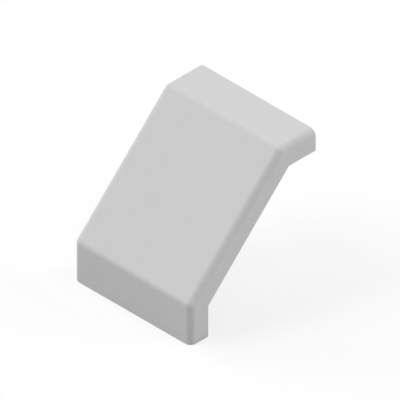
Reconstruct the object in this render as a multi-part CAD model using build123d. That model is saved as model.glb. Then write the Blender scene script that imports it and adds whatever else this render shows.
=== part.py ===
from build123d import *
import os
from math import radians, sqrt, tan

# Gusset cover cap: one moulded shell that is pushed over a corner gusset.
# Frame: the two profile faces that the gusset joins are the planes Z = 0 and Y = 0, and they
# meet along X. The origin is on that line, in the cap's plane of symmetry X = 0. The cap
# lies towards -Y and +Z, with its front band at -Y and its top band up. Millimetres.

# Outer form
width = 43.0  # along X, over both side skirts
leg = 46.0  # from the corner line to the front band's face, and to the top band's face
band = 12.5  # height of the front band and length of the top band, to the sharp bend
skirt = 6.5  # how far the side skirts reach behind the show faces
edge_radius = 2.0  # rolled outer edges
wall = 1.5
least_inner_radius = 0.2  # in the corners inside, where the wall is too thick to keep even

# Guide ribs under the slope, each leaving a slot beside its skirt for one web of the gusset
gusset_web = 3.4  # thickness
web_clearance = 0.2
guide_rib_thickness = 0.9
guide_rib_height = 2.0  # behind the wall
guide_rib_end_gap = 6.0  # from the slope's bend, inside, to the rib's end
rib_draft = 1.5  # degrees on each side

# Cross ribs that tie the guide ribs together
cross_rib_thickness = 0.9
cross_rib_height = 1.4  # behind the wall
cross_rib_from_end = 5.0  # from a guide rib's end to the middle of the first cross rib
cross_rib_count = 3

# Catches inside the skirts: a steep face towards the slope, and a ramp towards the rim
catch_height = 0.6
catch_length = 6.0  # along the slope
catch_spacing = 20.0  # along the slope, between middles
catch_face = 0.3  # how much of the skirt's depth the steep face takes
catch_ramp = 2.0  # how much of it the ramp takes
catch_from_rim = 0.6

# Ejector pin marks inside the slope, midway between cross ribs
pin_diameter = 3.0
pin_depth = 0.15
pin_from_guide_rib = 5.0  # from the rib's middle to the pin's

rib_root_radius = 0.25

# Worked out from the above
bend_angle = 45.0  # degrees, at each of the two bends, because both legs are equal
half_width = width / 2
inner_half_width = half_width - wall
inner_radius = max(edge_radius - wall, least_inner_radius)
bend_shift = tan(radians(bend_angle / 2))  # how far a bend moves along a band, per inset
slope_length = sqrt(2) * (leg - band - wall * (1 - bend_shift))  # inside the wall
guide_rib_length = slope_length - 2 * guide_rib_end_gap
guide_rib_x = inner_half_width - web_clearance - gusset_web - guide_rib_thickness / 2
cross_rib_spacing = (guide_rib_length - 2 * cross_rib_from_end) / (cross_rib_count - 1)
rib_root = wall / 2  # how deep a rib or a catch is rooted in the wall
overrun = 5.0  # how far a cutting body runs past the face that it cuts
near = 1e-4  # two lengths that differ by less are the same


def bends(inset):
    """The side view's two bends, as (Y, Z), at a depth behind the show faces."""
    reach = leg - inset
    rise = band - inset * bend_shift
    return (-reach, rise), (-rise, reach)


def bent_strip(outer_inset, inner_inset, past_rim=0.0):
    """The side view's closed outline between two depths behind the show faces."""
    points = []
    for inset, step in ((outer_inset, 1), (inner_inset, -1)):
        reach = leg - inset
        line = [(-reach, -past_rim), *bends(inset), (past_rim, reach)]
        points += line[::step]
    return make_face(Polyline(*points, close=True))


def bent_bar(outer_inset, inner_inset, bar_half_width, past_rim=0.0):
    """The strip carried along X, to both sides of the plane of symmetry."""
    outline = Plane.YZ * bent_strip(outer_inset, inner_inset, past_rim)
    return extrude(outline, bar_half_width, both=True)


def depth_of(point):
    """How deep a point lies behind the nearest show face."""
    behind_slope = (point.Y - point.Z + leg + band) / sqrt(2)
    return min(point.Y + leg, leg - point.Z, behind_slope)


def edges_to_roll(bar, depth):
    """The bar's edges at one depth, without those in the end planes of its two legs."""

    def wanted(edge):
        middle = edge.center()
        off_ends = middle.Z > near and middle.Y < -near
        return off_ends and abs(depth_of(middle) - depth) < near

    return bar.edges().filter_by(wanted)


def outer_body():
    """The bent bar with all its show edges rolled."""
    bar = bent_bar(0, skirt, half_width)
    return fillet(edges_to_roll(bar, 0), edge_radius)


def cavity():
    """The room inside the wall, open at both leg ends and behind."""
    room = bent_bar(wall, skirt + overrun, inner_half_width, overrun)
    return fillet(edges_to_roll(room, wall), inner_radius)


def behind_slope(depth):
    """A plane under the middle of the slope: X along the width, Y downhill, Z into the cap."""
    middle = (0, -(leg + band) / 2, (leg + band) / 2)
    return Plane(origin=middle, x_dir=(1, 0, 0), z_dir=(0, 1, -1)).offset(depth)


def rib(height, outline):
    """A drafted rib of one outline, rooted in the wall under the slope."""
    return extrude(behind_slope(wall - rib_root) * outline, rib_root + height, taper=rib_draft)


def guide_ribs():
    outline = Rectangle(guide_rib_thickness, guide_rib_length)
    return [rib(guide_rib_height, Pos(side * guide_rib_x) * outline) for side in (-1, 1)]


def cross_ribs():
    outline = Rectangle(2 * guide_rib_x, cross_rib_thickness)
    places = GridLocations(0, cross_rib_spacing, 1, cross_rib_count)
    return [rib(cross_rib_height, place * outline) for place in places]


def rib_root_edges(shell):
    """Where the ribs' sides meet the wall."""

    def wanted(edge):
        middle = edge.center()
        along_slope = (middle.Y + middle.Z) / sqrt(2)
        by_the_ribs = (
            abs(middle.X) < guide_rib_x + guide_rib_thickness
            and abs(along_slope) < guide_rib_length / 2 + guide_rib_thickness
        )
        return by_the_ribs and abs(depth_of(middle) - wall) < near

    return shell.edges().filter_by(wanted)


def catches():
    """Four wedges on the skirts' inner faces, drawn in a section square to the slope."""
    foot = inner_half_width + rib_root
    rim_end = skirt - catch_from_rim
    peak = rim_end - catch_ramp
    section = make_face(
        Polyline(
            (foot, peak - catch_face),
            (inner_half_width, peak - catch_face),
            (inner_half_width - catch_height, peak),
            (inner_half_width, rim_end),
            (foot, rim_end),
            close=True,
        )
    )
    slope = behind_slope(0)
    across = Plane(origin=slope.origin, x_dir=slope.x_dir, z_dir=-slope.y_dir)
    wedge = extrude(across * section, catch_length / 2, both=True)
    copies = []
    for step in (-1, 1):
        moved = Pos(slope.y_dir * (step * catch_spacing / 2)) * wedge
        copies += [moved, mirror(moved, about=Plane.YZ)]
    return copies


def pin_marks():
    """Shallow round marks that the ejector pins leave."""
    mark = Cylinder(pin_diameter / 2, 2 * pin_depth)
    places = GridLocations(
        2 * (guide_rib_x - pin_from_guide_rib), cross_rib_spacing, 2, cross_rib_count - 1
    )
    return [behind_slope(wall) * place * mark for place in places]


body = outer_body() - cavity()
body += guide_ribs() + cross_ribs()
body = fillet(rib_root_edges(body), rib_root_radius)
body += catches()
body -= pin_marks()

os.makedirs("parts", exist_ok=True)
export_step(body, "parts/cover_cap.step")
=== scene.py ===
import math

import bpy
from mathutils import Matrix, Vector


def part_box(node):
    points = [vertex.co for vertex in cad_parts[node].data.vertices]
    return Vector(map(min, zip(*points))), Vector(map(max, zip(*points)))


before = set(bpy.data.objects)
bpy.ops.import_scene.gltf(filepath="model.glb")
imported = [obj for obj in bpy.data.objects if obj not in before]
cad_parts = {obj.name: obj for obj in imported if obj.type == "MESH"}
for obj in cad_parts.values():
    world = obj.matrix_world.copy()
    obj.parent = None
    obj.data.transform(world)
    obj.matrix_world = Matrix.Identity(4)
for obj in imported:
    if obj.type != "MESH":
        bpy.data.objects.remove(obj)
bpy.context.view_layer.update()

# The cap's form, in metres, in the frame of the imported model
_, high_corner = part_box("cover_cap")
half_width = high_corner.x
leg = high_corner.z  # from the corner line to the top band's face, and to the front band's
band = 0.0125  # height of the front band, to the bend
wall = 0.0015

# The photograph, in pixels, and its scale
photo_side = 400
origin_in_photo = (257.2, 240.8)  # where the middle of the corner line lies, right and down
pixels_per_metre = 3847.0
camera_azimuth = math.radians(45)  # from straight in front, towards the right
camera_elevation = math.asin(1 / math.sqrt(3))  # an isometric view
camera_distance = 1.0

# The plastic. Sizes and heights are in metres.
plastic_grey = 0.6
mottle_size = 0.006
mottle_detail = 3.0  # how many finer layers the spots have
mottle_contrast = 0.006  # how much lighter and darker the grey gets
noise_range = (0.3, 0.7)  # where nearly all values of the noise lie
noise_middle = 0.5
outside_roughness = 0.65
inside_roughness = 0.5
grain_size = 0.0002
grain_detail = 2.0
grain_height = 0.00003
grain_share_inside = 0.2  # how much of the grain's height the inside has
grain_on_roughness = 0.1  # how much rougher the grain's peaks are than its pits
finish_change = (0.8, 0.98)  # where the finish changes, as shares of the wall's depth

# The light: an even room and soft lamps, each with its direction in degrees and its level.
# A level of 1 shows a surface that faces the light in its own colour.
room_light = 0.348
lamp_softness = math.radians(30)
lamps = {
    "key_lamp": {"azimuth": 315, "elevation": 50, "level": 0.407},
    "left_lamp": {"azimuth": 270, "elevation": 35, "level": 0.278},
    "rear_lamp": {"azimuth": 135, "elevation": 20, "level": 0.315},
    "right_lamp": {"azimuth": 105, "elevation": 65, "level": 0.136},
}
white = (1.0, 1.0, 1.0, 1.0)
white_strength = 1.0  # of a glow that shows as white

# The floor
floor_side = 6.0
floor_drop = 0.00005  # below the lower rim, so that the two faces don't share a plane
floor_grey = 0.6
shadow_share = 0.4  # how much of the floor's shading the camera sees


def add_node(tree, kind, inputs=(), **settings):
    """A shader node, each input either linked to a socket or set to a value."""
    made = tree.nodes.new(kind)
    for name, value in settings.items():
        setattr(made, name, value)
    for name, value in dict(inputs).items():
        if isinstance(value, bpy.types.NodeSocket):
            tree.links.new(value, made.inputs[name])
        else:
            made.inputs[name].default_value = value
    return made


def maths(tree, operation, *values):
    """The result of one arithmetic step on sockets or numbers."""
    return add_node(tree, "ShaderNodeMath", enumerate(values), operation=operation).outputs[0]


def ramp(tree, value, low, high, start=0.0, end=1.0):
    """A number that goes from low to high as the value goes from start to end."""
    inputs = {"Value": value, "From Min": start, "From Max": end, "To Min": low, "To Max": high}
    return add_node(tree, "ShaderNodeMapRange", inputs).outputs["Result"]


def noise(tree, place, size, detail):
    """Soft random values about the middle, in spots of one size."""
    inputs = {"Vector": place, "Scale": 1 / size, "Detail": detail}
    return add_node(tree, "ShaderNodeTexNoise", inputs).outputs["Fac"]


def fresh_material(name):
    """An empty material, its node tree and its output node."""
    material = bpy.data.materials.new(name)
    material.use_nodes = True
    tree = material.node_tree
    tree.nodes.clear()
    return material, tree, tree.nodes.new("ShaderNodeOutputMaterial")


def inside_mask(tree, place):
    """1 on the faces behind the wall and 0 on the show faces.

    The depth behind the show faces is the least of: y + leg, leg - z, half_width - |x| and
    (y - z + leg + band) / sqrt 2. The mask goes from 0 to 1 in the last part of the wall.
    """
    axes = add_node(tree, "ShaderNodeSeparateXYZ", {"Vector": place}).outputs
    behind_front = maths(tree, "ADD", axes["Y"], leg)
    behind_top = maths(tree, "SUBTRACT", leg, axes["Z"])
    behind_side = maths(tree, "SUBTRACT", half_width, maths(tree, "ABSOLUTE", axes["X"]))
    along_both = maths(tree, "ADD", maths(tree, "SUBTRACT", axes["Y"], axes["Z"]), leg + band)
    behind_slope = maths(tree, "DIVIDE", along_both, math.sqrt(2))
    depth = maths(tree, "MINIMUM", behind_front, behind_top)
    depth = maths(tree, "MINIMUM", depth, behind_side)
    depth = maths(tree, "MINIMUM", depth, behind_slope)
    start, end = (share * wall for share in finish_change)
    return ramp(tree, depth, 0.0, 1.0, start, end)


def grained_plastic():
    """Light grey plastic: a fine spark-eroded grain outside, smoother and glossier inside."""
    material, tree, output = fresh_material("grained_plastic")
    place = add_node(tree, "ShaderNodeTexCoord").outputs["Object"]
    inside = inside_mask(tree, place)

    mottle = noise(tree, place, mottle_size, mottle_detail)
    darker = plastic_grey * (1 - mottle_contrast)
    lighter = plastic_grey * (1 + mottle_contrast)
    grey = ramp(tree, mottle, darker, lighter, *noise_range)

    grain = noise(tree, place, grain_size, grain_detail)
    roughness = ramp(tree, inside, outside_roughness, inside_roughness)
    above_middle = maths(tree, "SUBTRACT", grain, noise_middle)
    roughness = maths(tree, "MULTIPLY_ADD", above_middle, grain_on_roughness, roughness)

    grain_share = maths(tree, "MULTIPLY_ADD", inside, grain_share_inside - 1, 1.0)
    height = maths(tree, "MULTIPLY", grain, grain_share)
    bump = add_node(tree, "ShaderNodeBump", {"Height": height, "Distance": grain_height})
    surface = add_node(
        tree,
        "ShaderNodeBsdfPrincipled",
        {"Base Color": grey, "Roughness": roughness, "Normal": bump.outputs["Normal"]},
    )
    tree.links.new(surface.outputs["BSDF"], output.inputs["Surface"])
    return material


def seen_directly(tree):
    """1 for rays from the camera and for what gloss or clear material shows, or else 0."""
    path = add_node(tree, "ShaderNodeLightPath").outputs
    direct = maths(tree, "MAXIMUM", path["Is Camera Ray"], path["Is Glossy Ray"])
    return maths(tree, "MAXIMUM", direct, path["Is Transmission Ray"])


def floor():
    """A pale floor. To the camera its lit part is white, and the cap's shadow is faint."""
    light_on_floor = room_light
    for set_up in lamps.values():
        light_on_floor += set_up["level"] * math.sin(math.radians(set_up["elevation"]))
    material, tree, output = fresh_material("pale_floor")
    seen = seen_directly(tree)
    shown_grey = floor_grey * shadow_share
    shade = ramp(tree, seen, floor_grey, shown_grey)
    matt = add_node(tree, "ShaderNodeBsdfDiffuse", {"Color": shade})
    to_white = maths(tree, "MULTIPLY", seen, white_strength - shown_grey * light_on_floor)
    glow = add_node(tree, "ShaderNodeEmission", {"Color": white, "Strength": to_white})
    both = add_node(tree, "ShaderNodeAddShader", {0: matt.outputs[0], 1: glow.outputs[0]})
    tree.links.new(both.outputs[0], output.inputs["Surface"])

    reach = floor_side / 2
    around = ((-reach, -reach), (reach, -reach), (reach, reach), (-reach, reach))
    corners = [(x, y, -floor_drop) for x, y in around]
    mesh = bpy.data.meshes.new("floor")
    mesh.from_pydata(corners, [], [(0, 1, 2, 3)])
    mesh.materials.append(material)
    ground = bpy.data.objects.new("floor", mesh)
    bpy.context.collection.objects.link(ground)


def towards(azimuth, elevation):
    """The unit direction to a thing seen from the object; azimuth 0 is -Y and 90 degrees is +X."""
    flat = math.cos(elevation)
    return Vector((flat * math.sin(azimuth), -flat * math.cos(azimuth), math.sin(elevation)))


def light():
    """An even grey room, white to the camera, and soft lamps far away."""
    world = bpy.data.worlds.new("room")
    bpy.context.scene.world = world
    world.use_nodes = True
    tree = world.node_tree
    tree.nodes.clear()
    level = ramp(tree, seen_directly(tree), room_light, white_strength)
    back = add_node(tree, "ShaderNodeBackground", {"Color": white, "Strength": level})
    output = tree.nodes.new("ShaderNodeOutputWorld")
    tree.links.new(back.outputs[0], output.inputs["Surface"])

    for name, set_up in lamps.items():
        lamp = bpy.data.lights.new(name, "SUN")
        lamp.energy = math.pi * set_up["level"]
        lamp.angle = lamp_softness
        holder = bpy.data.objects.new(name, lamp)
        aim = towards(math.radians(set_up["azimuth"]), math.radians(set_up["elevation"]))
        holder.rotation_euler = aim.to_track_quat("Z", "Y").to_euler()
        bpy.context.collection.objects.link(holder)


def camera():
    """An isometric camera, moved sideways so that the cap lies where the photograph has it."""
    lens = bpy.data.cameras.new("camera")
    lens.type = "ORTHO"
    lens.ortho_scale = photo_side / pixels_per_metre
    holder = bpy.data.objects.new("camera", lens)
    aim = towards(camera_azimuth, camera_elevation)
    turn = aim.to_track_quat("Z", "Y")
    right = turn @ Vector((1, 0, 0))
    up = turn @ Vector((0, 1, 0))
    across = (photo_side / 2 - origin_in_photo[0]) / pixels_per_metre
    above = (origin_in_photo[1] - photo_side / 2) / pixels_per_metre
    holder.location = aim * camera_distance + right * across + up * above
    holder.rotation_euler = turn.to_euler()
    bpy.context.collection.objects.link(holder)
    bpy.context.scene.camera = holder


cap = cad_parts["cover_cap"]
cap.material_slots[0].material = grained_plastic()
floor()
light()
camera()
bpy.context.scene.view_settings.view_transform = "Standard"
